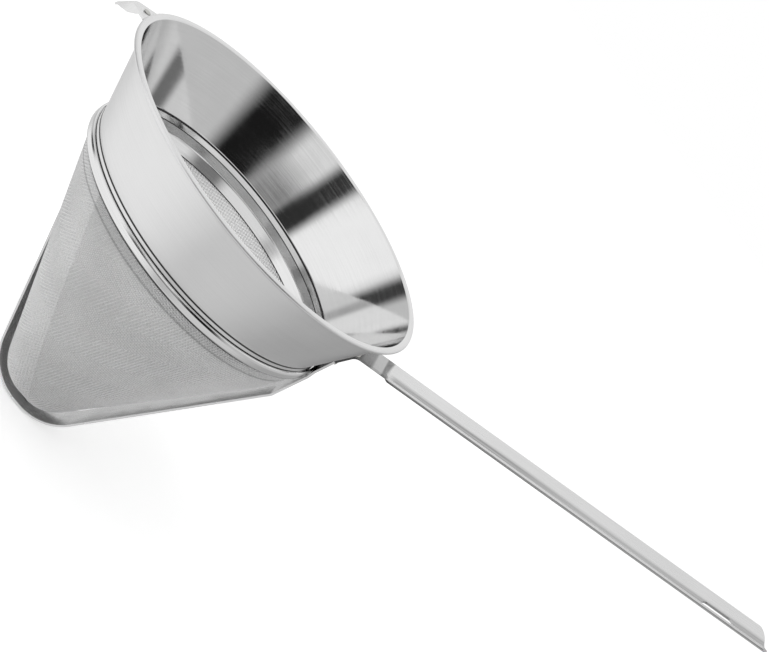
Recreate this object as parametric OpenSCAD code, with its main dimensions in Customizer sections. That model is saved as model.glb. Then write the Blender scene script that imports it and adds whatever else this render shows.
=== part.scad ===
// Reinforced chinois strainer: a tapered sheet collar with a curled rim, a round-nosed cone
// of woven wire cloth clamped to its foot, a guard strap round the cone, a dished handle
// and a rest hook opposite it. Sizes are in millimetres.
// The origin is the centre of the rim, at half its height. Z points up out of the mouth and
// X points along the handle, so all depths below are measured down from the rim.

/* [Collar] */
// Outer diameter of the rim
rim_d = 200; // [180:1:240]
// Distance from the rim's outer edge to the inside of the wall
rim_w = 3.8; // [3.5:0.1:6]
// Height of the curled rim
rim_h = 2.2; // [2:0.1:3]
// Inner diameter of the collar at its foot
foot_d = 160; // [154:1:166]
// Depth of the tapered wall from the rim to the foot
collar_h = 41.4; // [38:0.1:50]
// Thickness of the collar sheet
sheet_t = 0.7; // [0.5:0.05:0.8]

/* [Clamped joint] */
// Length of the collar's straight skirt below the tapered wall
skirt_h = 6.8; // [5:0.1:9]
// Height of the half-round bead over the joint
bead_h = 5; // [4:0.1:7]
// How far the bead stands out of the skirt
bead_out = 1.7; // [1.4:0.1:3]
// Depth from the rim to the lower edge of the inner clamp ring
ring_depth = 56.2; // [54:0.1:60]
// Thickness of the clamp ring
ring_t = 0.8; // [0.6:0.05:1.2]
// Height of the ring's flared top
lip_h = 2.8; // [2:0.1:3.4]

/* [Mesh cone] */
// Depth of the cone's tip below the rim
cone_depth = 182; // [160:1:215]
// Outer radius of the rounded tip
nose_r = 23.7; // [16:0.1:26]
// Thickness of the wire cloth
cloth_t = 0.7; // [0.5:0.05:1]
// Width of the lapped seam along the cone
seam_w = 6; // [4:0.5:10]
// Direction of the seam round the axis, in degrees from the handle
seam_turn = 218; // [190:1:350]

/* [Guard strap] */
// Width of the strap
strap_w = 22; // [14:0.5:26]
// Thickness of the strap
strap_t = 1.2; // [1:0.1:2]
// Outer radius of the strap round the tip
strap_nose_r = 28; // [25:0.5:32]
// Gap between the tip and the strap
tip_gap = 2.5; // [1:0.1:6]
// How far the strap's round end is off the axis, towards the handle
strap_shift = 3.4; // [0:0.1:5]
// Turn of the strap's rising half away from the line opposite the handle, in degrees
strap_turn = 14; // [0:1:20]
// Depth at which the strap bends in towards the cone on the handle side
strap_knee = 70.5; // [66:0.5:74]
// How far the strap has drawn in from the bead at that bend
knee_in = 3.6; // [2:0.1:5]
// Length of the strap's end above the bead on the hook side
strap_tail = 12; // [8:0.5:16]

/* [Handle] */
// Reach of the handle's tip from the strainer's axis
handle_reach = 330; // [260:1:400]
// Upward tilt of the handle in degrees
handle_tilt = 17.15; // [8:0.05:22]
// Depth of the strip's line below the rim, at the rim's radius
handle_drop = 19; // [16:0.5:24]
// Width of the handle
handle_w = 22; // [18:0.5:30]
// Thickness of the handle strip
handle_t = 1.2; // [1:0.1:2]
// Inner radius of the bend between the handle and its leg
root_bend = 5; // [3:0.5:7]
// Gap between the collar and the handle's leg
leg_gap = 0.3; // [0.1:0.1:0.8]
// Depth below the rim of the leg's lower end
leg_depth = 33; // [31:0.5:36]
// Depth of the dished section
dish_depth = 4; // [2.5:0.1:6]
// Distance from the rim's radius to the start of the dish
dish_start = 2.5; // [1:0.5:30]
// Length over which the dish sinks to its full depth
dish_run = 5; // [3:0.5:12]
// Corner radius of the handle's tip
tip_r = 6; // [3:0.5:9]
// Length of the hanging slot
slot_l = 20; // [12:0.5:30]
// Width of the hanging slot
slot_w = 7; // [5:0.25:9]
// Distance from the handle's tip to the centre of the slot
slot_inset = 29; // [22:0.5:45]

/* [Rest hook] */
// Width of the hook where it leaves the rim
hook_w = 20; // [14:0.5:24]
// Width of the hook's nose
hook_nose_w = 4; // [3.5:0.25:8]
// Reach of the hook beyond the rim
hook_reach = 15.5; // [13:0.25:22]
// Reach of the hook's flat part beyond the rim
hook_flat = 10; // [9:0.1:11.5]
// Depth of the hook's nose below the rim
hook_drop = 10; // [9:0.25:14]
// Depth of the hook's turned-down sides
hook_side = 5; // [3:0.25:6]
// Thickness of the hook's sheet
hook_t = 1.2; // [1:0.1:1.4]

/* [Fits] */
// Clearance between pieces that are pressed or welded together
fit = 0.05; // [0.02:0.01:0.1]
// Radius of the weld fillets
weld_r = 2; // [1.5:0.1:2.5]
// Diameter of the spot welds
spot_d = 4; // [3:0.1:5]

/* [Hidden] */

$fn = 180;
bend_step = 5;
far = 500;
spot_h = 0.4;

// Collar: radii of the sheet at a depth below the rim
rim_r = rim_d / 2;
rim_mid = rim_h / 2;
wall_r = rim_r - rim_w;
foot_r = foot_d / 2;
wall_slope = (wall_r - foot_r) / collar_h;
wall_lean = sheet_t / cos(atan(wall_slope));
function collar_outer(depth) = wall_r - wall_slope * depth + wall_lean;

// Joint: pieces nested outwards from the clamp ring, with the fit between them
skirt_depth = collar_h + skirt_h;
cloth_outer = foot_r - fit;
ring_r = cloth_outer - cloth_t - fit - ring_t;
ring_top = collar_h + 0.8;
lip_depth = ring_top + lip_h;
bead_inner = foot_r + sheet_t + fit;
bead_r = bead_inner + bead_out;
bead_mid = skirt_depth + 1.1 - bead_h / 2;
bead_low = bead_mid + bead_h / 2;

// Cone: its slope runs from the bead's underside and is tangent to the round tip
cone_top = bead_low + 1.2;
tip_centre = cone_depth - nose_r;
cone_angle = tangent_angle(cloth_outer, tip_centre - cone_top, nose_r);

// Strap: its outer face, over the bead and round the tip, with its lowest point off the axis
strap_low = cone_depth + tip_gap + strap_t;
strap_centre = strap_low - strap_nose_r;
strap_bead = bead_r + fit + strap_t;
strap_edge = bead_h / 2 - 0.4;
tail_low = bead_mid - bead_h / 2 - 3;
tail_r = collar_outer(tail_low) + strap_t + 2 * fit;
back_shift = strap_shift * cos(strap_turn);
strap_flat = strap_w / 2 * sin(strap_turn) + 0.3;

// Handle: the strip's local frame starts where its middle crosses the rim's radius
dish_r = (pow(handle_w / 2, 2) + pow(dish_depth, 2)) / (2 * dish_depth);
handle_l = (handle_reach - rim_r) / cos(handle_tilt);
strip_low = handle_drop + handle_t / (2 * cos(handle_tilt));
function leg_x(depth) = collar_outer(depth) + leg_gap + handle_t;

// Corner where the strip's underside meets the outer face of the leg
root_x = (leg_x(strip_low + rim_r * tan(handle_tilt)))
    / (1 - wall_slope * tan(handle_tilt));
root_depth = strip_low - (root_x - rim_r) * tan(handle_tilt);

// Slope angle of the line from a point down to a circle of radius r that it touches,
// where the point lies dx beside and dz above the circle's centre
function tangent_angle(dx, dz, r) = atan2(dx, dz) - asin(r / norm([dx, dz]));

// Plane paths for bent sheet. A path is a list of [x, z, bend radius].
function unit(v) = v / norm(v);
function left(v) = [-v[1], v[0]];
function turned(v, a) = [v[0] * cos(a) - v[1] * sin(a), v[0] * sin(a) + v[1] * cos(a)];
function spot(p) = [p[0], p[1]];

// Points of one bend, each with the normal to the left of the path
function bend(a, b, c) =
    let (u = unit(spot(b) - spot(a)),
         v = unit(spot(c) - spot(b)),
         turn = atan2(u[0] * v[1] - u[1] * v[0], u * v),
         start = spot(b) - u * b[2] * tan(abs(turn) / 2),
         centre = start + left(u) * sign(turn) * b[2],
         count = max(1, ceil(abs(turn) / bend_step)))
    [for (k = [0:count])
        let (n = turned(left(u), turn * k / count))
        [centre - n * sign(turn) * b[2], n]];

function traced(path) =
    let (last = len(path) - 1)
    concat(
        [[spot(path[0]), left(unit(spot(path[1]) - spot(path[0])))]],
        [for (i = [1:last - 1]) each bend(path[i - 1], path[i], path[i + 1])],
        [[spot(path[last]), left(unit(spot(path[last]) - spot(path[last - 1])))]]);

// Closed outline of a sheet of thickness t on the left of the traced path
function sheet_outline(line, t) =
    concat([for (q = line) q[0]],
           [for (i = [len(line) - 1:-1:0]) line[i][0] + line[i][1] * t]);

// Sheet with a side outline in the XZ plane, w wide along Y
module plate_across(w) {
    rotate([90, 0, 0])
        linear_extrude(height = w, center = true)
            children();
}

// Places its children in the handle's local frame, X along the strip and Z square to it
module along_handle() {
    translate([rim_r, 0, -handle_drop])
        rotate([0, -handle_tilt, 0])
            children();
}

// Collar: curled rim, tapered wall and a straight skirt round the cloth
module collar() {
    wall = [[collar_outer(0) + 0.7, -rim_mid, 0],
            [rim_r, -rim_mid, rim_mid],
            [rim_r, rim_mid, rim_mid],
            [wall_r + wall_slope * rim_mid, rim_mid, 1.3],
            [foot_r, -collar_h, 3],
            [foot_r, -skirt_depth, 0]];
    color("silver")
        rotate_extrude()
            polygon(sheet_outline(traced(wall), sheet_t));
}

// Bead ring: half-round band rolled over the collar's skirt, with a lip under it
module bead_ring() {
    band = [[bead_inner, -(bead_mid - bead_h / 2), 0],
            [bead_r - 0.6, -(bead_mid - bead_h / 2), 0.9],
            [bead_r, -(bead_mid - bead_h / 4), 1.6],
            [bead_r, -(bead_mid + bead_h / 4), 1.6],
            [bead_r - 0.6, -bead_low, 0.9],
            [foot_r, -bead_low, 0]];
    color("gainsboro")
        rotate_extrude()
            difference() {
                polygon([for (q = traced(band)) q[0]]);
                translate([0, -skirt_depth - fit])
                    square([bead_inner, far]);
            }
}

// Clamp ring: inner band with a flared top that holds the cloth against the skirt
module clamp_ring() {
    corner = cone_top - (cloth_outer - ring_r) * tan(cone_angle / 2);
    band = [[foot_r - fit - ring_t - 0.1, -ring_top, 0],
            [ring_r, -lip_depth, 1.5],
            [ring_r, -corner, 3.4],
            [ring_r - (ring_depth - corner) * tan(cone_angle), -ring_depth, 0]];
    color("whitesmoke")
        rotate_extrude()
            polygon(sheet_outline(traced(band), ring_t));
}

// Outer profile of the cloth from the joint down to the tip
function cloth_line() =
    let (corner = nose_r * tan((90 - cone_angle) / 2),
         line = traced([[cloth_outer, -lip_depth - 0.4, 0],
                        [cloth_outer, -cone_top, 5],
                        [corner, -cone_depth, nose_r],
                        [0, -cone_depth, 0]]))
    [for (i = [0:len(line) - 2]) line[i]];

// Mesh cone: the woven cloth as a thin open shell
module mesh_cone() {
    color("lightgray")
        rotate_extrude()
            polygon(sheet_outline(cloth_line(), -cloth_t));
}

// Mesh seam: the lapped strip of cloth that closes the cone, inside it
module mesh_seam() {
    top = ring_depth + 4;
    color("darkgray")
        intersection() {
            rotate_extrude()
                polygon(sheet_outline(
                    [for (q = cloth_line()) [q[0] - q[1] * (cloth_t + fit), q[1]]], -0.4));
            rotate([0, 0, seam_turn])
                translate([0, -seam_w / 2, -tip_centre])
                    cube([far, seam_w, tip_centre - top]);
        }
}

// Corner of the strap's path, where a line down from [x, depth] that touches the round
// end meets the level stretch at the strap's lowest point
function strap_corner(x, depth) =
    let (lean = tangent_angle(x - strap_flat, strap_centre - depth, strap_nose_r))
    strap_flat + strap_nose_r * tan((90 - lean) / 2);

// Strap's path on the handle side, from the handle's leg to its lowest point
function falling_path() =
    let (knee_x = strap_bead - knee_in)
    [[leg_x(leg_depth + fit), -leg_depth - fit, 0],
     [strap_bead, -(bead_mid - strap_edge), 4],
     [strap_bead, -(bead_mid + strap_edge), 8],
     [knee_x, -strap_knee, 4],
     [strap_shift + strap_corner(knee_x - strap_shift, strap_knee), -strap_low, strap_nose_r],
     [strap_shift, -strap_low, 0]];

// Strap's path on the far side, in the plane of the turned half
function rising_path() =
    let (bead_x = strap_bead + back_shift,
         depth = bead_mid + strap_edge)
    [[tail_r + back_shift + strap_tail * wall_slope, -(tail_low - strap_tail), 0],
     [tail_r + back_shift, -tail_low, 4],
     [bead_x, -(bead_mid - strap_edge), 2],
     [bead_x, -depth, 2],
     [strap_corner(bead_x, depth), -strap_low, strap_nose_r],
     [0, -strap_low, 0]];

// Half of the strap along a path
module strap_half(path) {
    plate_across(strap_w)
        polygon(sheet_outline(traced(path), -strap_t));
}

// Rounded filler in the notch between the two halves at the lowest point
module strap_kink() {
    reach = strap_w / 2 * sin(strap_turn / 2) + 0.2;
    translate([strap_shift, 0, -strap_low])
        rotate([0, 0, -strap_turn / 2])
            intersection() {
                cylinder(d = strap_w - 2 * fit, h = strap_t);
                translate([-reach, -strap_w, 0])
                    cube([2 * reach, 2 * strap_w, strap_t]);
            }
}

// Guard strap: flat strip over the bead, round the tip and up the far side, where it runs
// askew of the handle by the strap's turn
module guard_strap() {
    color("lightgray")
        union() {
            strap_half(falling_path());
            strap_kink();
            strap_behind()
                strap_half(rising_path());
        }
}

// Places its children, drawn with X along the handle, on the strap's far half
module strap_behind() {
    translate([strap_shift, 0, 0])
        rotate([0, 0, -strap_turn])
            mirror([1, 0, 0])
                children();
}

// Tool that dishes the strip along the handle, grown by a distance all round
module dish_tool(grow) {
    lift = dish_r - dish_depth;
    edge = [[0, dish_start, 0],
            [lift - handle_t / 2, dish_start, handle_t / 2 + 0.4],
            [dish_r, dish_start + dish_run, 3],
            [dish_r, far, 0]];
    translate([0, 0, lift])
        rotate([0, 90, 0])
            rotate_extrude()
                polygon(concat([for (q = traced(edge)) q[0] - q[1] * grow],
                               [[0, far]]));
}

// Plan of the dished strip in its local frame, with round corners at the tip
module handle_plan() {
    union() {
        translate([0, -handle_w / 2])
            square([handle_l - tip_r, handle_w]);
        translate([handle_l - tip_r - 1, -handle_w / 2 + tip_r])
            square([tip_r + 1, handle_w - 2 * tip_r]);
        for (side = [-1, 1])
            translate([handle_l - tip_r, side * (handle_w / 2 - tip_r)])
                circle(r = tip_r, $fn = 64);
    }
}

// Hanging slot through the dish
module slot_tool() {
    reach = (slot_l - slot_w) / 2;
    translate([handle_l - slot_inset, 0, -dish_depth - 5])
        linear_extrude(height = 10)
            union() {
                square([2 * reach, slot_w], center = true);
                for (side = [-1, 1])
                    translate([side * reach, 0])
                        circle(d = slot_w, $fn = 64);
            }
}

// Side outline of the handle's root: a leg down the collar that bends into a flat tab
module root_outline() {
    tab_end = rim_r + (dish_start + dish_run) * cos(handle_tilt);
    polygon(sheet_outline(
        traced([[leg_x(leg_depth), -leg_depth, 0],
                [root_x, -root_depth, root_bend],
                [tab_end, -root_depth + (tab_end - root_x) * tan(handle_tilt), 0]]),
        handle_t));
}

// Handle: welded leg, flat tab and a dished strip with a hanging slot
module handle() {
    color("lightgray")
        union() {
            difference() {
                plate_across(handle_w)
                    root_outline();
                along_handle()
                    dish_tool(0);
            }
            along_handle()
                difference() {
                    intersection() {
                        translate([0, 0, -dish_depth - handle_t])
                            linear_extrude(height = dish_depth + 1.5 * handle_t)
                                handle_plan();
                        difference() {
                            dish_tool(handle_t / 2);
                            dish_tool(-handle_t / 2);
                        }
                    }
                    slot_tool();
                }
        }
}

// Rest hook: pressed tab under the rim with turned-down sides and a drooping nose
module rest_hook() {
    top = rim_mid + fit;
    web = [[rim_r + hook_reach, -hook_drop, 0],
           [rim_r + hook_flat, -top - 1.5, 3],
           [rim_r + 1, -top, 12],
           [collar_outer(top) + fit, -top, 0]];
    nose_x = rim_r + hook_reach;
    side = [[rim_r + 3, -top - 0.8, 0],
            [rim_r + 4, -top - hook_side / 2, 2],
            [rim_r + hook_flat - 2, -top - hook_side - 1.5, 4],
            [rim_r + hook_flat + 2, -hook_drop + 0.8, 4],
            [nose_x - 0.3, -hook_drop, 0.2],
            [rim_r + hook_flat, -top - 1.7, 3],
            [rim_r + 3.2, -top - 0.7, 0]];
    color("lightgray")
        mirror([1, 0, 0])
            union() {
                intersection() {
                    plate_across(hook_w)
                        polygon(sheet_outline(traced(web), hook_t));
                    hook_plan(0);
                }
                difference() {
                    intersection() {
                        plate_across(hook_w)
                            polygon([for (q = traced(side)) q[0]]);
                        hook_plan(0);
                    }
                    hook_plan(hook_t);
                }
            }
}

// Tapered plan of the hook, each side drawn in by inset
module hook_plan(inset) {
    half = hook_w / 2 - inset;
    mid = hook_nose_w / 2 + 1.6 - inset;
    nose = hook_nose_w / 2 - inset;
    translate([0, 0, -2 * hook_drop])
        linear_extrude(height = 2 * hook_drop)
            polygon([[wall_r, -half],
                     [rim_r, -half],
                     [rim_r + hook_flat, -mid],
                     [rim_r + hook_reach + 2, -nose],
                     [rim_r + hook_reach + 2, nose],
                     [rim_r + hook_flat, mid],
                     [rim_r, half],
                     [wall_r, half]]);
}

// Space taken by the collar's tapered outside, grown by a clearance
module collar_envelope(gap) {
    translate([0, 0, -collar_h])
        cylinder(h = collar_h,
                 r1 = collar_outer(collar_h) + gap,
                 r2 = collar_outer(0) + gap);
}

// Handle weld: fillet in the groove between the collar and the root's bend
module handle_weld() {
    depth = root_depth - 2;
    span = 2 * asin((handle_w / 2 - 0.5) / collar_outer(depth));
    color("gray")
        difference() {
            rotate([0, 0, -span / 2])
                rotate_extrude(angle = span)
                    translate([collar_outer(depth), -depth])
                        circle(r = weld_r, $fn = 32);
            collar_envelope(fit);
            plate_across(2 * handle_w)
                polygon(sheet_outline(
                    [for (q = traced([[leg_x(leg_depth), -leg_depth, 0],
                                      [root_x, -root_depth, root_bend],
                                      [rim_r, -strip_low, 0]]))
                        [q[0] + q[1] * (handle_t + fit), q[1]]], -20));
        }
}

// Strap weld: low bead across the butt between the handle's leg and the strap
module strap_weld() {
    lean = atan((leg_x(leg_depth) - strap_bead) / (bead_mid - leg_depth));
    color("gray")
        translate([leg_x(leg_depth) + fit, 0, -leg_depth])
            rotate([0, 90 + lean, 0])
                intersection() {
                    translate([0, 0, -1.2])
                        rotate([90, 0, 0])
                            cylinder(r = 1.8, h = strap_w - 1, center = true, $fn = 48);
                    translate([-3, -strap_w, 0.1])
                        cube([6, 2 * strap_w, 2]);
                }
}

// Strap spot welds: on the bead at both sides and on the collar behind
module strap_spot_welds() {
    depth = tail_low - strap_tail / 2;
    wall_x = tail_r + back_shift + wall_slope * (tail_low - depth) + fit;
    color("gray")
        for (place = [-1, 1]) {
            translate([strap_bead + fit, place * strap_w / 4, -bead_mid])
                rotate([0, 90, 0])
                    spot_pip();
            strap_behind() {
                translate([strap_bead + back_shift + fit, place * strap_w / 4, -bead_mid])
                    rotate([0, 90, 0])
                        spot_pip();
                translate([wall_x, place * strap_w / 4, -depth])
                    rotate([0, 90 + atan(wall_slope), 0])
                        spot_pip();
            }
        }
}

// Hook spot weld: pip on the hook where it leaves the rim
module hook_spot_weld() {
    color("gray")
        translate([-(rim_r + spot_d / 2 + 0.4), 0, -rim_mid])
            spot_pip();
}

// Low flat-topped pip of a spot weld
module spot_pip() {
    cylinder(d1 = spot_d, d2 = spot_d - 1, h = spot_h, $fn = 48);
}

collar();
bead_ring();
clamp_ring();
mesh_cone();
mesh_seam();
guard_strap();
handle();
rest_hook();
handle_weld();
strap_weld();
strap_spot_welds();
hook_spot_weld();
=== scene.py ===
"""Looks, light and camera for a reinforced chinois strainer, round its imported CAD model.

The CAD nodes are shown as they are, with procedural steel finishes. The smooth cone of the CAD
model is replaced by woven wire cloth in which every wire is a tube that passes over and under
the wires it crosses. Lengths are in metres and in the frame of the CAD model: the origin is the
centre of the rim, Z points out of the mouth and X along the handle.
"""

from __future__ import annotations

import logging
import math
from dataclasses import dataclass
from enum import Enum
from typing import Any

import bpy
import numpy as np
from mathutils import Matrix, Vector

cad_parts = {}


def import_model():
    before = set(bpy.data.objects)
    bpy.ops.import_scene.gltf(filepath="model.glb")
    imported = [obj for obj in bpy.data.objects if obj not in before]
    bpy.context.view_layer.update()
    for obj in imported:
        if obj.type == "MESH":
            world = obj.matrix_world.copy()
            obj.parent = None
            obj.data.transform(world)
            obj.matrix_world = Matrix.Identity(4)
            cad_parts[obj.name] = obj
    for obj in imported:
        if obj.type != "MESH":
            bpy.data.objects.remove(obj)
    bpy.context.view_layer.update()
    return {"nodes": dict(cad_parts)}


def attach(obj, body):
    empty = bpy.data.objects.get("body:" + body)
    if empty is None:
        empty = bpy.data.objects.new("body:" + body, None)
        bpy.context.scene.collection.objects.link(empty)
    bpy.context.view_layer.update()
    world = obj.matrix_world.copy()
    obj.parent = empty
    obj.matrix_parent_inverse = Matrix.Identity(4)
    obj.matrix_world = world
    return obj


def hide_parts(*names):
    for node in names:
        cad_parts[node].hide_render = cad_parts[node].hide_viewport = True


MM = 0.001
log = logging.getLogger("chinois")


class Grain(Enum):
    """Direction in which a steel surface was polished."""

    ROUND = "circles round the cone's axis"
    ALONG = "lines along the strip"
    PLAIN = "no direction"


class Board:
    """A node tree under construction, with short calls for nodes, sums and links."""

    def __init__(self, tree: bpy.types.NodeTree) -> None:
        """Clears the tree and keeps it.

        Args:
            tree: the node tree of a material or a world.
        """
        self.tree = tree
        tree.nodes.clear()

    def node(self, kind: str, inputs: dict[Any, Any] | None = None, **settings: Any) -> bpy.types.Node:
        """Adds a node and fills its inputs.

        Args:
            kind: the node's type name without the leading word Shader.
            inputs: constants or output sockets by input name or number.
            settings: properties of the node.

        Returns:
            The new node.
        """
        made = self.tree.nodes.new("Shader" + kind)
        for name, value in settings.items():
            setattr(made, name, value)
        for name, value in (inputs or {}).items():
            if isinstance(value, bpy.types.NodeSocket):
                self.tree.links.new(value, made.inputs[name])
            else:
                made.inputs[name].default_value = value
        return made

    def math(self, operation: str, *values: Any) -> bpy.types.NodeSocket:
        """Adds a Math node.

        Args:
            operation: what the node does.
            values: constants or sockets, in the node's order.

        Returns:
            The result's socket.
        """
        return self.node("NodeMath", dict(enumerate(values)), operation=operation).outputs[0]

    def spread(
        self, value: Any, low: float, high: float, to_low: float, to_high: float
    ) -> bpy.types.NodeSocket:
        """Maps a value smoothly from one range to another.

        Args:
            value: the socket to map.
            low: value that becomes to_low.
            high: value that becomes to_high.
            to_low: result at the low end.
            to_high: result at the high end.

        Returns:
            The mapped socket.
        """
        inputs = {0: value, 1: low, 2: high, 3: to_low, 4: to_high}
        return self.node("NodeMapRange", inputs, interpolation_type="SMOOTHSTEP").outputs[0]

    def blend(self, share: Any, first: Any, second: Any) -> bpy.types.NodeSocket:
        """Mixes two numbers.

        Args:
            share: 0 for the first number and 1 for the second.
            first: a constant or a socket.
            second: a constant or a socket.

        Returns:
            The mixed socket.
        """
        return self.node("NodeMix", {0: share, 2: first, 3: second}).outputs[0]

    def ramp(self, share: Any, stops: tuple[tuple[float, float], ...]) -> bpy.types.NodeSocket:
        """Maps a share from 0 to 1 to a grey by eased steps between stops.

        Args:
            share: the socket to map.
            stops: pairs of share and grey, in rising order.

        Returns:
            The grey socket.
        """
        ramp = self.node("NodeValToRGB", {0: share})
        ramp.color_ramp.interpolation = "EASE"
        marks = ramp.color_ramp.elements
        while len(marks) < len(stops):
            marks.new(0.5)
        for mark, (at, grey) in zip(marks, stops):
            mark.position = at
            mark.color = (grey, grey, grey, 1)
        return ramp.outputs[0]

    def dark_line(self, value: Any, level: float, half_width: float, floor: float) -> bpy.types.NodeSocket:
        """Factor that falls to a floor where a value is near a level, and is 1 elsewhere.

        Args:
            value: the socket that is compared.
            level: where the line lies.
            half_width: half the line's width, of which the outer half fades.
            floor: the factor in the line's middle.

        Returns:
            The factor's socket.
        """
        off = self.math("ABSOLUTE", self.math("SUBTRACT", value, level))
        return self.spread(off, 0.5 * half_width, half_width, floor, 1.0)

    def product(self, *factors: Any) -> Any:
        """Multiplies numbers and sockets.

        Args:
            factors: two or more constants or sockets.

        Returns:
            The product's socket.
        """
        result = factors[0]
        for factor in factors[1:]:
            result = self.math("MULTIPLY", result, factor)
        return result

    def noise(self, place: Any, scale: float, detail: float) -> bpy.types.NodeSocket:
        """Adds a noise texture.

        Args:
            place: the socket with the place.
            scale: how many grains there are per metre.
            detail: how many finer layers are added.

        Returns:
            The noise's socket, round 0.5.
        """
        inputs = {"Vector": place, "Scale": scale, "Detail": detail}
        return self.node("NodeTexNoise", inputs).outputs[0]

    def stretched(self, place: Any, scale: tuple[float, float, float]) -> bpy.types.NodeSocket:
        """Scales a place by a different factor along each axis.

        Args:
            place: the socket with the place.
            scale: one factor per axis.

        Returns:
            The scaled place's socket.
        """
        return self.node("NodeVectorMath", {0: place, 1: scale}, operation="MULTIPLY").outputs[0]


@dataclass(frozen=True)
class Swing:
    """How a noise moves a value: the stretch of the noise in use, and the result at its ends."""

    low: float
    high: float
    least: float
    most: float

    def under(self, board: Board, noise: Any) -> bpy.types.NodeSocket:
        """Adds the swing.

        Args:
            board: the node tree to add to.
            noise: the noise's socket.

        Returns:
            The moved value's socket.
        """
        return board.spread(noise, self.low, self.high, self.least, self.most)


@dataclass(frozen=True)
class SteelFinish:
    """A polished, satin or brushed stainless steel surface."""

    label: str
    tone: float = 0.84
    rough: float = 0.16
    rough_outside: float | None = None
    grain: Grain = Grain.ROUND
    grain_rough: float = 0.08
    grain_height: float = 0.000004
    smudge_rough: float = 0.07
    stretch: float = 0.5
    # Floor of the painted shade in corners, and of the dark joint lines
    crevice: float = 0.12
    crevice_reach: float = 0.0016
    joint_lines: tuple[tuple[float, float], ...] = ()
    warmth: float = 0.0
    strap_shade: float = 1.0
    least_rough: float = 0.05
    smudge_scale: float = 38.0
    hair_share: float = 2.7
    hair_tone: Swing = Swing(0.25, 0.75, 0.965, 1.02)
    smudge_tone: Swing = Swing(0.3, 0.7, 0.975, 1.01)
    bump_strength: float = 0.7

    def material(self) -> bpy.types.Material:
        """Builds the finish as a node material.

        Fine lines come from noise that is stretched along the grain. They change the roughness,
        the tone and the height a little. Broad soft noise stands for wiped smudges. The corners
        between pieces get painted shade, by how much of the air is open there. Each joint line, a
        band of a half width round a level, is dark down to the same floor. Where a strap shade is
        set, the outside beside the strap gets painted shade as well.

        Returns:
            The material.
        """
        made = bpy.data.materials.new(self.label)
        made.use_nodes = True
        board = Board(made.node_tree)
        place = board.node("NodeTexCoord").outputs["Object"]
        lines = board.noise(board.stretched(place, self.line_scale()), 1.0, 4.0)
        hairs = board.noise(board.stretched(place, self.hair_scale()), 1.0, 2.0)
        smudge = board.noise(place, self.smudge_scale, 4.0)
        rough_by_line = Swing(0.3, 0.7, -self.grain_rough, self.grain_rough)
        rough_by_smudge = Swing(0.35, 0.7, -self.smudge_rough, self.smudge_rough)
        rough = board.math("ADD", self.base_rough(board, place), rough_by_line.under(board, lines))
        rough = board.math("ADD", rough, rough_by_smudge.under(board, smudge))
        rough = board.math("MAXIMUM", rough, self.least_rough)
        tone = board.product(self.tone, self.hair_tone.under(board, hairs))
        tone = board.product(tone, self.smudge_tone.under(board, smudge), self.crevice_shade(board))
        axes = board.node("NodeSeparateXYZ", {0: place}).outputs
        for level, half_width in self.joint_lines:
            tone = board.product(tone, board.dark_line(axes[2], level, half_width, self.crevice))
        # Painted shade of the strap and the handle's leg on the outside beside them
        if self.strap_shade < 1.0:
            tone = board.product(tone, self.beside_strap(board, place, axes))
        tone, metal = self.edged(board, axes, tone)
        blue = board.product(tone, 1 - self.warmth)
        colour = board.node("NodeCombineColor", {0: tone, 1: tone, 2: blue})
        height = board.math("ADD", lines, board.product(hairs, 0.5))
        relief = {"Height": height, "Distance": self.grain_height, "Strength": self.bump_strength}
        bump = board.node("NodeBump", relief)
        inputs = {
            "Base Color": colour.outputs[0],
            "Metallic": metal,
            "Roughness": rough,
            "Normal": bump.outputs[0],
        }
        if self.grain is Grain.ROUND:
            inputs["Anisotropic"] = self.stretch
            inputs["Tangent"] = board.node("NodeTangent", direction_type="RADIAL", axis="Z").outputs[0]
        shader = board.node("NodeBsdfPrincipled", inputs)
        board.node("NodeOutputMaterial", {"Surface": shader.outputs[0]})
        return made

    def crevice_shade(self, board: Board) -> bpy.types.NodeSocket:
        """Factor for the painted shade in the corners between pieces, by how much of the air is open there.

        Args:
            board: the node tree to add to.

        Returns:
            The factor's socket.
        """
        look = board.node("NodeAmbientOcclusion", {"Distance": self.crevice_reach}, samples=8)
        return board.spread(look.outputs["AO"], 0.12, 0.6, self.crevice, 1.0)

    def beside_strap(self, board: Board, place: Any, axes: Any) -> Any:
        """Factor for the painted shade on the outside, beside the strap and the handle's leg.

        It is full within the strip's width on the handle's side and below the weld, and fades
        out beside the strip.

        Args:
            board: the node tree to add to.
            place: the socket with the point's place.
            axes: the sockets of the point's X, Y and Z.

        Returns:
            The factor's socket.
        """
        reach = board.spread(axes[2], -46 * MM, -28 * MM, 16 * MM, 7 * MM)
        beside = board.math("SUBTRACT", board.math("ABSOLUTE", axes[1]), 11.5 * MM)
        near = board.spread(board.math("DIVIDE", beside, reach), 0.35, 1.0, 1.0, 0.0)
        low = board.spread(axes[2], -24 * MM, -13 * MM, 1.0, 0.0)
        ahead = board.math("GREATER_THAN", axes[0], 0.0)
        outside = board.math("GREATER_THAN", self.facing(board, place), 0.0)
        return board.blend(board.product(near, low, ahead, outside), 1.0, self.strap_shade)

    @staticmethod
    def facing(board: Board, place: Any) -> Any:
        """Product of a point's normal and place without their Z part, above zero outside.

        Args:
            board: the node tree to add to.
            place: the socket with the point's place.

        Returns:
            The product's socket.
        """
        flat = board.stretched(board.node("NodeNewGeometry").outputs["True Normal"], (1.0, 1.0, 0.0))
        return board.node("NodeVectorMath", {0: flat, 1: place}, operation="DOT_PRODUCT").outputs["Value"]

    def edged(self, board: Board, axes: Any, tone: Any) -> tuple[Any, Any]:
        """Lets a finish change the tone and the metal share by place. The plain one doesn't.

        Args:
            board: the node tree to add to.
            axes: the sockets of the point's X, Y and Z.
            tone: the tone so far.

        Returns:
            The tone and the metal share.
        """
        return tone, 1.0

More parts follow.
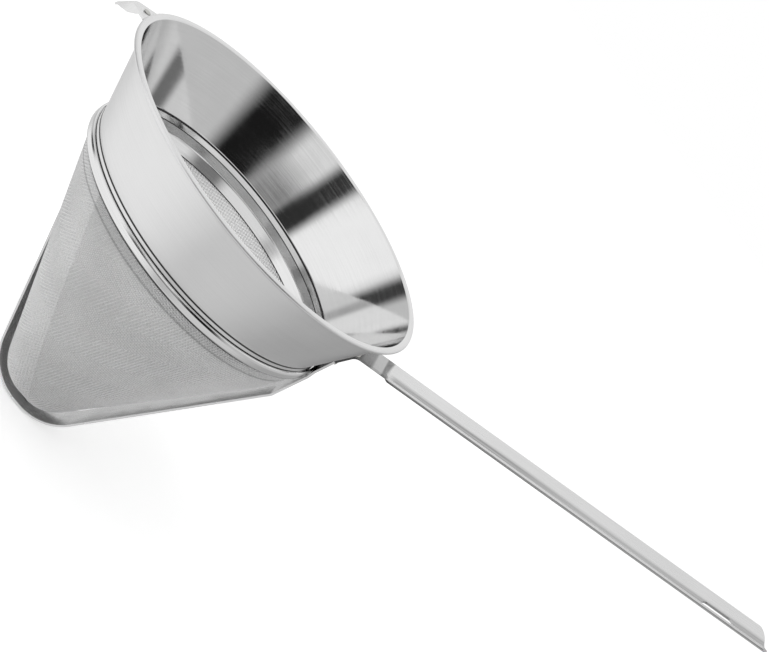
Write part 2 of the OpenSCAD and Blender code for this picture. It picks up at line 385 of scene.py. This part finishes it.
    def line_scale(self) -> tuple[float, float, float]:
        """Noise scale along each axis for the brushed lines.

        Returns:
            Grains per metre along X, Y and Z.
        """
        scales = {
            Grain.ROUND: (9.0, 9.0, 1900.0),
            Grain.ALONG: (22.0, 1700.0, 22.0),
            Grain.PLAIN: (900.0, 900.0, 900.0),
        }
        return scales[self.grain]

    def hair_scale(self) -> tuple[float, float, float]:
        """Noise scale along each axis for the finer hair lines, per metre."""
        return tuple(self.hair_share * scale for scale in self.line_scale())

    def base_rough(self, board: Board, place: Any) -> Any:
        """Roughness before the grain: one value, or one inside and another outside.

        Args:
            board: the node tree to add to.
            place: the socket with the point's place.

        Returns:
            A number or a socket.
        """
        if self.rough_outside is None:
            return self.rough
        outside = board.math("GREATER_THAN", self.facing(board, place), 0.0)
        return board.blend(outside, self.rough, self.rough_outside)


@dataclass(frozen=True)
class StripFinish(SteelFinish):
    """Brushed strip with a painted highlight on its edges."""

    edge_at: float = 10.75 * MM
    edge_highlight_metal: float = 0.35

    def edged(self, board: Board, axes: Any, tone: Any) -> tuple[Any, Any]:
        """Paints a highlight on the edges, which lie further from the XZ plane than the strip's faces.

        Args:
            board: the node tree to add to.
            axes: the sockets of the point's X, Y and Z.
            tone: the tone so far.

        Returns:
            The tone and the metal share.
        """
        edge = self.on_edge(board, axes)
        # Painted highlight: the edges get full tone and less metal, so they read as a bright glint
        return board.blend(edge, tone, 1.0), board.blend(edge, 1.0, self.edge_highlight_metal)

    def on_edge(self, board: Board, axes: Any) -> bpy.types.NodeSocket:
        """1 on the strip's edges and 0 on its faces."""
        return board.math("GREATER_THAN", board.math("ABSOLUTE", axes[1]), self.edge_at)


@dataclass(frozen=True)
class HandleFinish(StripFinish):
    """The handle's strip, with painted shade at its root, step, dish and edges, and a darker tip."""

    root: tuple[float, float] = (100 * MM, -19 * MM)
    tilt: float = math.radians(17.15)
    under_from: float = -0.38 * MM
    underside_shade_tone: float = 0.35
    tip_fade_span: tuple[float, float] = (120 * MM, 300 * MM)
    tip_fade_tone: float = 0.93
    # Painted shadow of the rim over the root and painted dark reflections at the bend and the step, as tone
    # stops along X
    root_shade_span: tuple[float, float] = (90 * MM, 110 * MM)
    root_shade_stops: tuple[tuple[float, float], ...] = (
        (90.0 * MM, 0.25),
        (96.8 * MM, 0.32),
        (98.4 * MM, 0.66),
        (102.4 * MM, 0.66),
        (103.6 * MM, 0.24),
        (105.6 * MM, 0.34),
        (107.6 * MM, 1.00),
    )
    dish_span: tuple[float, float] = (107 * MM, 113 * MM)
    dish_dark_to: float = 2.8 * MM
    dish_light_from: float = 5.8 * MM
    dish_wander: float = 0.6 * MM

    def edged(self, board: Board, axes: Any, tone: Any) -> tuple[Any, Any]:
        """Adds painted shade at the root, the step, the dish and under each edge, and darkens towards the
        tip.

        Args:
            board: the node tree to add to.
            axes: the sockets of the point's X, Y and Z.
            tone: the tone so far.

        Returns:
            The tone and the metal share.
        """
        tone, metal = StripFinish.edged(self, board, axes, tone)
        # Darker towards the tip, from 120 to 300 mm along X
        tip_fade = board.spread(axes[0], *self.tip_fade_span, 1.0, self.tip_fade_tone)
        # Painted shade on the lower part of each edge's thickness
        under = board.product(self.below(board, axes), self.on_edge(board, axes))
        line = board.blend(under, 1.0, self.underside_shade_tone)
        return board.product(tone, self.painted_root_shade(board, axes), tip_fade, line, self.dished(board, axes)), metal

    def painted_root_shade(self, board: Board, axes: Any) -> bpy.types.NodeSocket:
        """Factor for the painted shade at the root and the step, by steps along X.

        Args:
            board: the node tree to add to.
            axes: the sockets of the point's X, Y and Z.

        Returns:
            The factor's socket.
        """
        start, length = self.root_shade_span[0], self.root_shade_span[1] - self.root_shade_span[0]
        share = board.math("DIVIDE", board.math("SUBTRACT", axes[0], start), length)
        return board.ramp(share, tuple(((at - start) / length, grey) for at, grey in self.root_shade_stops))

    def below(self, board: Board, axes: Any) -> bpy.types.NodeSocket:
        """1 in the lower part of the strip's thickness and 0 above.

        The height over the strip's middle is Z times the cosine of the tilt less X times its
        sine, both from the root.

        Args:
            board: the node tree to add to.
            axes: the sockets of the point's X, Y and Z.

        Returns:
            The socket of the 0 or 1.
        """
        rise = board.product(board.math("SUBTRACT", axes[2], self.root[1]), math.cos(self.tilt))
        run = board.product(board.math("SUBTRACT", axes[0], self.root[0]), math.sin(self.tilt))
        return board.math("LESS_THAN", board.math("SUBTRACT", rise, run), self.under_from)

    def dished(self, board: Board, axes: Any) -> bpy.types.NodeSocket:
        """Factor for the painted shade in the bottom of the dish, streaked along the strip.

        Args:
            board: the node tree to add to.
            axes: the sockets of the point's X, Y and Z.

        Returns:
            The factor's socket.
        """
        place = board.node("NodeCombineXYZ", {0: axes[0], 1: axes[1], 2: axes[2]}).outputs[0]
        waves = board.noise(place, 12.0, 1.0)
        drift = Swing(0.3, 0.7, -self.dish_wander, self.dish_wander).under(board, waves)
        aside = board.math("ADD", board.math("ABSOLUTE", axes[1]), drift)
        middle = board.spread(aside, self.dish_dark_to, self.dish_light_from, 1.0, 0.0)
        fine = board.noise(board.stretched(place, (14.0, 1100.0, 14.0)), 1.0, 2.0)
        streaks = Swing(0.35, 0.65, 1.0, 0.6).under(board, fine)
        depth = board.spread(axes[0], 150 * MM, 220 * MM, 0.56, 0.40)
        begun = board.spread(axes[0], *self.dish_span, 0.0, 1.0)
        return board.math("SUBTRACT", 1.0, board.product(middle, streaks, depth, begun))


@dataclass(frozen=True)
class WireFinish:
    """The drawn stainless wire of the cloth."""

    label: str = "wire_cloth"
    tone: float = 1.0
    rough: float = 0.34
    metal: float = 0.36
    low_shade: float = 0.58
    joint_lines: tuple[tuple[float, float, float], ...] = (
        # The first line is painted shade just under the bead; the second is the dark edge of the clamp ring
        (-49.8 * MM, 1.0 * MM, 0.12),
        (-56.4 * MM, 0.8 * MM, 0.70),
    )
    patch_scale: float = 24.0
    patch_tone: Swing = Swing(0.3, 0.7, 0.93, 1.03)
    speck_scale: float = 1400.0
    speck_tone: Swing = Swing(0.3, 0.7, 0.9, 1.05)
    speck_rough: Swing = Swing(0.3, 0.7, -0.06, 0.08)

    def material(self) -> bpy.types.Material:
        """Builds the wire's material, with painted shade where a wire dips under another and duller in broad
        patches.

        It has painted shade just under the bead and is dark along the clamp ring's lower edge.

        Returns:
            The material.
        """
        made = bpy.data.materials.new(self.label)
        made.use_nodes = True
        board = Board(made.node_tree)
        place = board.node("NodeTexCoord").outputs["Object"]
        patch = board.noise(place, self.patch_scale, 3.0)
        speck = board.noise(place, self.speck_scale, 2.0)
        tone = board.product(self.tone, self.patch_tone.under(board, patch))
        tone = board.product(tone, self.speck_tone.under(board, speck))
        rise = board.node("NodeAttribute", attribute_name="rise").outputs["Fac"]
        # Painted shade on the low side of each crossing, by the wire's rise
        tone = board.product(tone, board.spread(rise, -0.6, 0.8, self.low_shade, 1.0))
        height = board.node("NodeSeparateXYZ", {0: place}).outputs[2]
        for level, half_width, floor in self.joint_lines:
            tone = board.product(tone, board.dark_line(height, level, half_width, floor))
        rough = board.math("ADD", self.rough, self.speck_rough.under(board, speck))
        colour = board.node("NodeCombineColor", {0: tone, 1: tone, 2: tone})
        inputs = {"Base Color": colour.outputs[0], "Metallic": self.metal, "Roughness": rough}
        shader = board.node("NodeBsdfPrincipled", inputs)
        board.node("NodeOutputMaterial", {"Surface": shader.outputs[0]})
        return made


class Dresser:
    """Small steps shared by all pieces."""

    @staticmethod
    def paint(piece: bpy.types.Object, material: bpy.types.Material) -> None:
        """Puts one material in every slot of a piece.

        Args:
            piece: the object to paint.
            material: its only material from here on.
        """
        if not piece.data.materials:
            piece.data.materials.append(material)
        for index in range(len(piece.data.materials)):
            piece.data.materials[index] = material

    @staticmethod
    def mark(piece: bpy.types.Object, name: str, values: np.ndarray) -> None:
        """Stores one number per vertex under a name that materials can read.

        Args:
            piece: the object to mark.
            name: the attribute's name.
            values: one number per vertex.
        """
        layer = piece.data.attributes.new(name, "FLOAT", "POINT")
        layer.data.foreach_set("value", values.astype(np.float32))

    @staticmethod
    def mesh(name: str, points: np.ndarray, quads: np.ndarray) -> bpy.types.Object:
        """Makes a mesh object from whole arrays.

        Args:
            name: the object's name.
            points: place of each vertex, one row each.
            quads: four vertex numbers per face, one row each.

        Returns:
            The object, with smooth faces.
        """
        data = bpy.data.meshes.new(name)
        data.vertices.add(len(points))
        data.vertices.foreach_set("co", points.astype(np.float32).ravel())
        data.loops.add(quads.size)
        data.loops.foreach_set("vertex_index", quads.astype(np.int32).ravel())
        data.polygons.add(len(quads))
        data.polygons.foreach_set("loop_start", np.arange(0, quads.size, 4, dtype=np.int32))
        data.polygons.foreach_set("use_smooth", np.ones(len(quads), dtype=bool))
        data.update(calc_edges=True)
        data.validate()
        made = bpy.data.objects.new(name, data)
        bpy.context.scene.collection.objects.link(made)
        return made


@dataclass
class SubAssembly:
    """Some of the CAD nodes, which are shown as they are. Each kind says what finish they get."""

    nodes: dict[str, bpy.types.Object]

    def finishes(self) -> dict[SteelFinish, tuple[str, ...]]:
        """Finish of each CAD node.

        Returns:
            The names of the nodes by finish.
        """
        raise NotImplementedError

    def dress(self) -> None:
        """Gives each node its finish."""
        for finish, names in self.finishes().items():
            material = finish.material()
            for name in names:
                Dresser.paint(self.nodes[name], material)
                log.info("%s: %s", name, finish.label)


@dataclass
class Bowl(SubAssembly):
    """The collar with its mirror inside, and the two rolled rings at its foot."""

    foot_line: float = -41.9 * MM
    skirt_line: float = -44.1 * MM
    bead_foot: float = -49.1 * MM
    clamp_top: float = -45.1 * MM
    clamp_foot: float = -56.0 * MM
    # Floor of the painted corner shade, the dark joint lines and the painted shade beside the strap
    corner: float = 0.05
    wide: float = 0.6 * MM
    middling: float = 0.5 * MM
    thin: float = 0.35 * MM

    def finishes(self) -> dict[SteelFinish, tuple[str, ...]]:
        """Mirror and satin on the collar, a rolled polish on the rings, with dark joints, painted shade in
        the corners, and painted shade beside the strap on the collar and the bead.

        Returns:
            The names of the nodes by finish.
        """
        sheet = SteelFinish(
            "bowl_sheet",
            rough=0.08,
            rough_outside=0.34,
            grain_rough=0.03,
            smudge_rough=0.03,
            stretch=0.2,
            crevice=self.corner,
            joint_lines=((self.foot_line, self.wide), (self.skirt_line, self.thin)),
            strap_shade=self.corner,
        )
        bead = SteelFinish(
            "rolled_bead",
            rough=0.14,
            grain_rough=0.05,
            crevice=self.corner,
            joint_lines=((self.bead_foot, self.middling),),
            strap_shade=self.corner,
        )
        clamp = SteelFinish(
            "rolled_clamp",
            rough=0.12,
            grain_rough=0.05,
            crevice=self.corner,
            joint_lines=((self.clamp_top, self.thin), (self.clamp_foot, self.thin)),
        )
        return {sheet: ("collar",), bead: ("bead_ring",), clamp: ("clamp_ring",)}


@dataclass
class Strips(SubAssembly):
    """The guard strap, the handle and the rest hook, brushed along their length."""

    rough: float = 0.26
    grain_rough: float = 0.05
    guard_tone: float = 0.66

    def finishes(self) -> dict[SteelFinish, tuple[str, ...]]:
        """One brushed finish each; the guard strap has a darker tone, and the handle has painted shade and a
        darker tip.

        Returns:
            The names of the nodes by finish.
        """
        shared = {"rough": self.rough, "grain": Grain.ALONG, "grain_rough": self.grain_rough}
        return {
            StripFinish("brushed_strip", **shared): ("rest_hook",),
            StripFinish("brushed_guard", tone=self.guard_tone, **shared): ("guard_strap",),
            HandleFinish("brushed_handle", **shared): ("handle",),
        }


@dataclass
class Welds(SubAssembly):
    """The welds of the handle, the strap and the hook."""

    def finishes(self) -> dict[SteelFinish, tuple[str, ...]]:
        """One duller and slightly warm finish for all welds.

        Returns:
            The names of the nodes by finish.
        """
        ground = SteelFinish("ground_weld", tone=0.62, rough=0.38, grain=Grain.PLAIN, warmth=0.04)
        return {ground: ("handle_weld", "strap_weld", "strap_spot_welds", "hook_spot_weld")}


@dataclass
class WireCloth:
    """Twilled wire cloth, cut from the flat, rolled to a cone and pressed round at the tip."""

    top_radius: float = 79.60 * MM
    top_level: float = -47.6 * MM
    bend_level: float = -50.5 * MM
    tip_level: float = -181.65 * MM
    nose_radius: float = 23.35 * MM
    pitch: float = 0.75 * MM
    wire: float = 0.42 * MM
    wave: float = 0.15 * MM
    seam_turn: float = 218.0
    lap: float = 24.0 * MM
    lap_lift: float = 0.12 * MM
    bulge: float = 3.9 * MM
    bulge_spread: float = 85.0
    bulge_ramp: float = 24.0 * MM
    bulge_tip: float = 0.6
    finest: float = 0.4
    offset: float = 0.37
    tip_opening: float = 1.2
    seam_tone: float = 0.8
    twill: int = 3
    turn_back: int = 22
    panels: int = 12
    sides: int = 4

    def __post_init__(self) -> None:
        """Works out the cone that touches the round tip and its flat development."""
        across = self.top_radius
        along = self.bend_level - (self.tip_level + self.nose_radius)
        self.half_angle = math.atan2(across, along) - math.asin(self.nose_radius / math.hypot(across, along))
        self.touch_slant = self.nose_radius / math.tan(self.half_angle)
        self.touch_arc = self.nose_radius * (math.pi / 2 - self.half_angle)
        widening = self.top_radius - self.nose_radius * math.cos(self.half_angle)
        self.cone_length = widening / math.sin(self.half_angle)
        self.full_slant = self.touch_slant + self.cone_length + (self.top_level - self.bend_level)
        self.half_sector = math.pi * math.sin(self.half_angle)

    def profile(self, slant: np.ndarray) -> tuple[np.ndarray, np.ndarray, np.ndarray, np.ndarray]:
        """Radius, level and outward normal of the cloth at a distance from the flat cone's apex.

        On the cone the distance is measured along the slope. Inside the round tip it is drawn
        together by a power law that keeps the slope of the arc length equal at the touch line,
        and above the bend it runs straight up.

        Args:
            slant: distance from the flat apex.

        Returns:
            Radius, level, and the radial and axial parts of the normal.
        """
        power = self.touch_slant / self.touch_arc
        share = np.clip(slant / self.touch_slant, 1e-4, 1.0)
        turn = self.touch_arc * share**power / self.nose_radius
        centre = self.tip_level + self.nose_radius
        nose = (
            self.nose_radius * np.sin(turn),
            centre - self.nose_radius * np.cos(turn),
            np.sin(turn),
            -np.cos(turn),
        )
        run = slant - self.touch_slant
        sine, cosine = math.sin(self.half_angle), math.cos(self.half_angle)
        cone = (
            self.nose_radius * cosine + run * sine,
            centre - self.nose_radius * sine + run * cosine,
            np.full_like(slant, cosine),
            np.full_like(slant, -sine),
        )
        rise = run - self.cone_length
        top = (
            np.full_like(slant, self.top_radius),
            self.bend_level + rise,
            np.ones_like(slant),
            np.zeros_like(slant),
        )
        return tuple(
            np.where(run < 0, in_nose, np.where(rise < 0, on_cone, at_top))
            for in_nose, on_cone, at_top in zip(nose, cone, top)
        )

    def wrapped(self, flat_x: np.ndarray, flat_y: np.ndarray, lift: np.ndarray) -> np.ndarray:
        """Rolls points of the flat cloth on to the cone.

        The distance from the flat apex gives the place along the profile, and the angle in the
        sector, divided by the sine of the half angle, gives the turn round the axis.

        Args:
            flat_x: first flat coordinate.
            flat_y: second flat coordinate.
            lift: height above the cloth's middle surface.

        Returns:
            Places in space, with one more axis at the end.
        """
        slant = np.hypot(flat_x, flat_y)
        angle = np.arctan2(flat_y, flat_x)
        radius, level, out, up = self.profile(slant)
        lap = self.lap_lift * (angle > self.half_sector)
        turn = math.radians(self.seam_turn) + (angle + self.half_sector) / math.sin(self.half_angle)
        lift = lift * self.shrink(slant) + lap + self.sag(slant, turn)
        radius = radius + lift * out
        return np.stack([radius * np.cos(turn), radius * np.sin(turn), level + lift * up], axis=-1)

    def sag(self, slant: np.ndarray, turn: np.ndarray) -> np.ndarray:
        """How far the cloth has bulged towards the strap on the handle's side.

        The bulge falls to nothing as a squared cosine round the axis, and at the joint and the
        tip as a sine.

        Args:
            slant: distance from the flat apex.
            turn: direction round the axis in radians.

        Returns:
            The bulge along the normal.
        """
        away = np.abs(np.mod(turn + math.pi, 2 * math.pi) - math.pi)
        round_share = np.clip(away / math.radians(self.bulge_spread), 0.0, 1.0)
        from_bend = self.touch_slant + self.cone_length - slant
        edge = np.clip(from_bend / self.bulge_ramp, 0.0, 1.0)
        tip = np.clip(slant / (self.bulge_tip * self.touch_slant), 0.0, 1.0)
        sides = np.sin(0.5 * math.pi * edge) * np.sin(0.5 * math.pi * tip)
        return self.bulge * np.cos(0.5 * math.pi * round_share) ** 2 * sides

    def shrink(self, slant: np.ndarray) -> np.ndarray:
        """How much finer the weave is drawn inside the round tip, from 1 down to the finest."""
        return np.clip(slant / self.touch_slant, self.finest, 1.0)

    def weave(self, warp: np.ndarray, weft: np.ndarray) -> np.ndarray:
        """Which wire is on top at each crossing, in a herringbone twill.

        The step of the twill counts up with the warp's number for some wires and down again for
        as many. The warp goes under the weft where that step plus the weft's number is a whole
        multiple of the twill's length, and over it elsewhere.

        Args:
            warp: number of the warp wire.
            weft: number of the weft wire.

        Returns:
            1 where the warp is on top and -1 where the weft is.
        """
        cycle = np.mod(warp, 2 * self.turn_back)
        step = np.minimum(cycle, 2 * self.turn_back - cycle)
        return np.where(np.mod(step + weft, self.twill) == 0, -1.0, 1.0)

    def lattice(self, turned: bool) -> tuple[np.ndarray, np.ndarray, np.ndarray]:
        """Tubes of all wires that run one way.

        Wire number i lies at i times the pitch, and its points are at the crossings, j times the
        pitch along it. The wire's height there is plus or minus the wave, by the weave. A tube's
        ring of points is the wire's point moved by half its thickness, sideways and upwards.

        Args:
            turned: whether the wires run along the second flat axis instead of the first.

        Returns:
            Vertices and quads of the tubes inside the sector, and each vertex's rise.
        """
        reach = int(math.ceil(self.full_slant / self.pitch)) + 1
        count = np.arange(-reach, reach + 1)
        line, step = np.meshgrid(count, count, indexing="ij")
        side = (line + self.offset) * self.pitch
        run = (step + self.offset) * self.pitch
        sign = -self.weave(step, line) if turned else self.weave(line, step)
        slant = np.hypot(side, run)
        angle = np.arctan2(side, run) if not turned else np.arctan2(run, side)
        limit = self.half_sector + self.lap / np.maximum(slant, self.pitch)
        inside = (slant < self.full_slant) & (slant > self.tip_opening * self.pitch)
        inside &= (angle > -self.half_sector) & (angle < limit)
        ring = 2 * math.pi * (np.arange(self.sides) + 0.5) / self.sides
        half = 0.5 * self.wire * self.shrink(slant)[..., None]
        aside = side[..., None] + half * np.cos(ring)
        along = np.broadcast_to(run[..., None], aside.shape)
        height = sign[..., None] * self.wave + 0.5 * self.wire * np.sin(ring)
        flat = (aside, along) if turned else (along, aside)
        points = self.wrapped(flat[0], flat[1], height)
        vertices, quads, used = self.tubes(points, inside, turned)
        rise = np.broadcast_to(sign[..., None], aside.shape).reshape(-1)[used]
        return vertices, quads, rise

    @staticmethod
    def tubes(
        points: np.ndarray, inside: np.ndarray, turned: bool
    ) -> tuple[np.ndarray, np.ndarray, np.ndarray]:
        """Joins rings of points to tubes and closes their ends.

        A quad joins two neighbouring rings of one wire where both are inside the cloth. Where
        a wire starts or stops, one quad closes its tube.

        Args:
            points: rings of points, by wire, step and place in the ring.
            inside: whether each ring is inside the cloth.
            turned: whether the wires run along the second flat axis.

        Returns:
            The vertices in use, the quads and the numbers of the vertices in use.
        """
        rows, cols, sides = points.shape[:3]
        number = np.arange(rows * cols * sides).reshape(rows, cols, sides)
        joined = inside[:, :-1] & inside[:, 1:]
        here, ahead = number[:, :-1][joined], number[:, 1:][joined]
        nearby, onward = np.roll(here, -1, axis=1), np.roll(ahead, -1, axis=1)
        walls = np.stack([here, nearby, onward, ahead], axis=-1).reshape(-1, 4)
        padded = np.pad(joined, ((0, 0), (1, 1)))
        starts = number[~padded[:, :-1] & padded[:, 1:]]
        stops = number[padded[:, :-1] & ~padded[:, 1:]]
        quads = np.concatenate([walls, starts[:, ::-1], stops])
        if turned:
            quads = quads[:, ::-1]
        used, quads = np.unique(quads, return_inverse=True)
        return points.reshape(-1, 3)[used], quads.reshape(-1, 4), used

    def build(self) -> list[bpy.types.Object]:
        """Weaves the cloth and cuts it into panels round the axis.

        Returns:
            The panels, on the root body and in place of the smooth cone.
        """
        first, second = self.lattice(False), self.lattice(True)
        points = np.concatenate([first[0], second[0]])
        quads = np.concatenate([first[1], second[1] + len(first[0])])
        rise = np.concatenate([first[2], second[2]])
        middle = points[quads].mean(axis=1)
        turn = np.arctan2(middle[:, 1], middle[:, 0]) / (2 * math.pi) % 1.0
        share = np.minimum((turn * self.panels).astype(int), self.panels - 1)
        material = WireFinish().material()
        made = []
        for index in range(self.panels):
            used, faces = np.unique(quads[share == index], return_inverse=True)
            panel = Dresser.mesh(f"cloth_panel_{index + 1}", points[used], faces.reshape(-1, 4))
            Dresser.mark(panel, "rise", rise[used])
            Dresser.paint(panel, material)
            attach(panel, "root")
            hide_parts("mesh_cone")
            log.info("%s: %d faces", panel.name, len(panel.data.polygons))
            made.append(panel)
        return made

    def dress_seam(self, seam: bpy.types.Object) -> None:
        """Gives the CAD node of the lapped seam a duller wire finish.

        Args:
            seam: the seam's object.
        """
        Dresser.paint(seam, WireFinish("seam_cloth", tone=self.seam_tone).material())
        log.info("%s: seam_cloth", seam.name)


@dataclass(frozen=True)
class Card:
    """A light card or dark flag that stands in the studio, seen in the polished faces.

    Its angles are in degrees: where its middle stands round the axis, half its width, how soft
    its sides are, and how far it reaches under and over the line at which the bowl looks.
    """

    facing: float
    half_width: float
    tone: float
    edge: float = 5.0
    low: float = -90.0
    high: float = 90.0
    soft_end: float = 0.8

    def before(self, board: Board, flat: Any, lean: Any, behind: Any) -> Any:
        """Puts the card in front of what is behind it.

        Args:
            board: the node tree to add to.
            flat: level direction of the ray, of length one.
            lean: height of the ray over the line at which the bowl looks, in radians.
            behind: brightness behind the card.

        Returns:
            The brightness socket.
        """
        turn = math.radians(self.facing)
        aim = (math.cos(turn), math.sin(turn), 0.0)
        level = board.node("NodeVectorMath", {0: flat, 1: aim}, operation="DOT_PRODUCT").outputs["Value"]
        off = board.math("ARCCOSINE", board.math("MINIMUM", level, 1.0))
        inner, outer = math.radians(self.half_width - self.edge), math.radians(self.half_width + self.edge)
        side = board.spread(off, inner, outer, 1.0, 0.0)
        foot = self.end(board, lean, self.low, True)
        head = self.end(board, lean, self.high, False)
        return board.blend(board.product(side, foot, head), behind, self.tone)

    def end(self, board: Board, lean: Any, at: float, begins: bool) -> bpy.types.NodeSocket:
        """Soft lower or upper end of the card.

        Args:
            board: the node tree to add to.
            lean: height of the ray over the line, in radians.
            at: where the end is, in degrees.
            begins: whether the card is above it instead of under it.

        Returns:
            The socket of the card's share, from 0 to 1.
        """
        low, high = math.radians(at - self.soft_end), math.radians(at + self.soft_end)
        under, over = (0.0, 1.0) if begins else (1.0, 0.0)
        return board.spread(lean, low, high, under, over)


@dataclass
class Studio:
    """White studio with cards and dark flags, a pale floor, a soft lamp and the camera."""

    floor_level: float = -0.1862
    floor_half: float = 4.0
    floor_tone: float = 0.88
    floor_glow: float = 0.47
    eye: tuple[float, float, float] = (-0.002308, -0.661298, 0.215009)
    turn: tuple[float, float, float] = (1.796, 0.775, 0.729)
    lens: float = 66.72
    shift: tuple[float, float] = (-0.0017, -0.0009)
    film_width: float = 36.0
    lamp_place: tuple[float, float, float] = (-0.5, -0.5, 1.6)
    lamp_size: float = 1.6
    lamp_power: float = 9.0
    fill: float = 0.62

    wall: float = 0.57
    upper_wall: float = 0.80
    ceiling: float = 0.85
    under_wall: float = 0.68
    line_height: float = math.radians(26)
    line_fall: float = 0.6
    # A white card, two dark flags with a lit gap between them, two soft flags above, a light card
    # behind the strainer and a narrow dark flag beside the white card
    cards: tuple[Card, ...] = (
        Card(-155, 32, 0.97, edge=8),
        Card(-113, 11, 0.03, high=2),
        Card(-90, 13, 0.20, edge=6, high=-0.8),
        Card(-90, 15, 0.80, edge=6, low=-0.8, high=2),
        Card(-54, 20, 0.01, edge=9, high=2.5),
        Card(-45, 16, 0.20, edge=8, low=2),
        Card(-126, 8, 0.50, low=2),
        Card(92, 28, 0.85, edge=14),
        Card(161, 8, 0.05, high=2.5),
    )
    # What the collar's outside sees below: the white card's foot, greys, and one dark flag
    under_cards: tuple[Card, ...] = (
        Card(-155, 58, 0.95, edge=20),
        Card(-86, 10, 0.54, edge=8),
        Card(32, 38, 0.40, edge=24),
        Card(77, 14, 0.06, edge=10),
        Card(165, 30, 0.95, edge=8),
    )

    def build(self) -> None:
        """Sets up the world, the floor, the lamp and the camera."""
        self.make_world()
        self.make_floor()
        self.make_lamp()
        self.make_camera()
        bpy.context.scene.view_settings.view_transform = "Standard"

    def make_world(self) -> None:
        """White for the camera, an even fill for matt surfaces, and the room for metal."""
        world = bpy.data.worlds.new("studio")
        bpy.context.scene.world = world
        world.use_nodes = True
        board = Board(world.node_tree)
        room = self.room(board)
        path = board.node("NodeLightPath").outputs
        plain = board.blend(path["Is Glossy Ray"], self.fill, room)
        seen = board.blend(path["Is Camera Ray"], plain, 1.0)
        light = board.node("NodeBackground", {"Color": seen, "Strength": 1.0})
        board.node("NodeOutputWorld", {"Surface": light.outputs[0]})

    def room(self, board: Board) -> bpy.types.NodeSocket:
        """The room by direction, a grey wall with cards and flags in front.

        Their heights are measured from a line that is at 26 degrees of elevation in front of
        the strainer and falls as the cosine of 0.6 times the angle away from there.

        Args:
            board: the node tree to add to.

        Returns:
            The brightness socket.
        """
        ray = board.node("NodeTexCoord").outputs["Generated"]
        x, y, z = board.node("NodeSeparateXYZ", {0: ray}).outputs
        level = board.stretched(ray, (1.0, 1.0, 0.0))
        flat = board.node("NodeVectorMath", {0: level}, operation="NORMALIZE").outputs[0]
        away = board.math("ABSOLUTE", board.math("ARCTAN2", x, board.product(y, -1.0)))
        line = board.product(board.math("COSINE", board.product(away, self.line_fall)), self.line_height)
        lean = board.math("SUBTRACT", board.math("ARCSINE", z), line)
        high = board.spread(lean, math.radians(1.2), math.radians(5.0), 0.0, 1.0)
        upper: Any = board.blend(high, self.wall, self.upper_wall)
        for card in self.cards:
            upper = card.before(board, flat, lean, upper)
        upper = board.blend(board.spread(z, 0.55, 0.85, 0.0, 1.0), upper, self.ceiling)
        under: Any = self.under_wall
        for card in self.under_cards:
            under = card.before(board, flat, lean, under)
        return board.blend(board.spread(z, -0.30, -0.08, 0.0, 1.0), under, upper)

    def make_floor(self) -> None:
        """A pale floor just under the strap. Metal reflects the room through it."""
        corners = self.floor_half * np.array([[-1, -1], [1, -1], [1, 1], [-1, 1]])
        points = np.column_stack([corners, np.full(len(corners), self.floor_level)])
        floor = Dresser.mesh("floor", points, np.array([[0, 1, 2, 3]]))
        made = bpy.data.materials.new("floor")
        made.use_nodes = True
        board = Board(made.node_tree)
        matt = board.node("NodeBsdfDiffuse", {"Color": (self.floor_tone,) * 3 + (1.0,)})
        path = board.node("NodeLightPath").outputs
        strength = board.product(path["Is Camera Ray"], self.floor_glow)
        glow = board.node("NodeEmission", {"Strength": strength})
        both = board.node("NodeAddShader", {0: matt.outputs[0], 1: glow.outputs[0]}).outputs[0]
        clear = board.node("NodeBsdfTransparent").outputs[0]
        shown = board.node("NodeMixShader", {0: path["Is Glossy Ray"], 1: both, 2: clear})
        board.node("NodeOutputMaterial", {"Surface": shown.outputs[0]})
        Dresser.paint(floor, made)

    def make_lamp(self) -> None:
        """One broad soft lamp above, which metal doesn't mirror."""
        data = bpy.data.lights.new("soft_lamp", "AREA")
        data.energy = self.lamp_power
        data.size = self.lamp_size
        lamp = bpy.data.objects.new("soft_lamp", data)
        lamp.location = self.lamp_place
        aim = Vector(self.lamp_place) * -1
        lamp.rotation_mode = "QUATERNION"
        lamp.rotation_quaternion = aim.to_track_quat("-Z", "Y")
        lamp.visible_glossy = False
        bpy.context.scene.collection.objects.link(lamp)

    def make_camera(self) -> None:
        """The camera at the photograph's place.

        Its turn is a rotation vector: the direction is the axis and the length the angle. The
        camera of the vector looks along +Z with Y down, so two axes are turned about.
        """
        data = bpy.data.cameras.new("camera")
        data.lens = self.lens
        data.sensor_width = self.film_width
        data.shift_x, data.shift_y = self.shift
        camera = bpy.data.objects.new("camera", data)
        angle = math.hypot(*self.turn)
        rotation = Matrix.Rotation(angle, 3, self.turn).transposed()
        flip = Matrix(((1, 0, 0), (0, -1, 0), (0, 0, -1)))
        camera.matrix_world = Matrix.Translation(self.eye) @ (rotation @ flip).to_4x4()
        bpy.context.scene.collection.objects.link(camera)
        bpy.context.scene.camera = camera


def main() -> None:
    """Loads the CAD model, dresses it, and builds the cloth and the studio."""
    logging.basicConfig(level=logging.INFO, format="%(name)s: %(message)s")
    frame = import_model()
    for kind in (Bowl, Strips, Welds):
        kind(frame["nodes"]).dress()
    cloth = WireCloth()
    cloth.build()
    cloth.dress_seam(frame["nodes"]["mesh_seam"])
    Studio().build()


if __name__ == "__main__":
    main()
